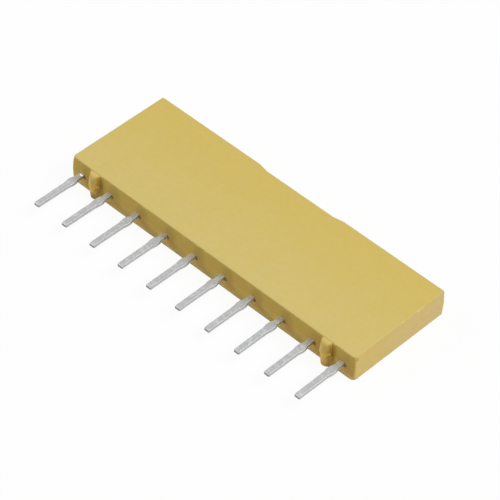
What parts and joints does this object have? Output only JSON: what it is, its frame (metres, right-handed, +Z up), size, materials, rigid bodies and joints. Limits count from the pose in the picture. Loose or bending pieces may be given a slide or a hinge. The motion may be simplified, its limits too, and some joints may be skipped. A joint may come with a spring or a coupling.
{
  "type": "resistor network",
  "caption": "Flat moulded single in-line resistor network with a row of stamped flat leads along one long edge and a half-round stand-off beside each end lead.",
  "frame": {"origin": "centre of the moulded body's large lower face, on which the part lies", "axes": "+X along the lead row, from lead 1 to lead 10; +Z up through the body's thickness; the leads point to -Y"},
  "size_m": [0.0248, 0.0123, 0.0021],
  "materials": {
    "moulding": "mustard-yellow filled epoxy moulding, satin with a fine spark-eroded grain",
    "lead_tin": "matt tin plate on stamped copper alloy",
    "ceramic": "unglazed white alumina",
    "conductor_film": "fired silver-palladium film",
    "resistor_film": "fired black resistor film",
    "glaze": "dark green glass overglaze",
    "solder": "reflowed solder"
  },
  "bodies": {
    "root": {"moulded_body": "moulding", "lead_01": "lead_tin", "lead_02": "lead_tin", "lead_03": "lead_tin", "lead_04": "lead_tin", "lead_05": "lead_tin", "lead_06": "lead_tin", "lead_07": "lead_tin", "lead_08": "lead_tin", "lead_09": "lead_tin", "lead_10": "lead_tin", "ceramic_substrate": "ceramic", "common_conductor": "conductor_film", "pad_02": "conductor_film", "pad_03": "conductor_film", "pad_04": "conductor_film", "pad_05": "conductor_film", "pad_06": "conductor_film", "pad_07": "conductor_film", "pad_08": "conductor_film", "pad_09": "conductor_film", "pad_10": "conductor_film", "resistor_02": "resistor_film", "resistor_03": "resistor_film", "resistor_04": "resistor_film", "resistor_05": "resistor_film", "resistor_06": "resistor_film", "resistor_07": "resistor_film", "resistor_08": "resistor_film", "resistor_09": "resistor_film", "resistor_10": "resistor_film", "overglaze": "glaze", "solder_01": "solder", "solder_02": "solder", "solder_03": "solder", "solder_04": "solder", "solder_05": "solder", "solder_06": "solder", "solder_07": "solder", "solder_08": "solder", "solder_09": "solder", "solder_10": "solder"}
  },
  "joints": []
}
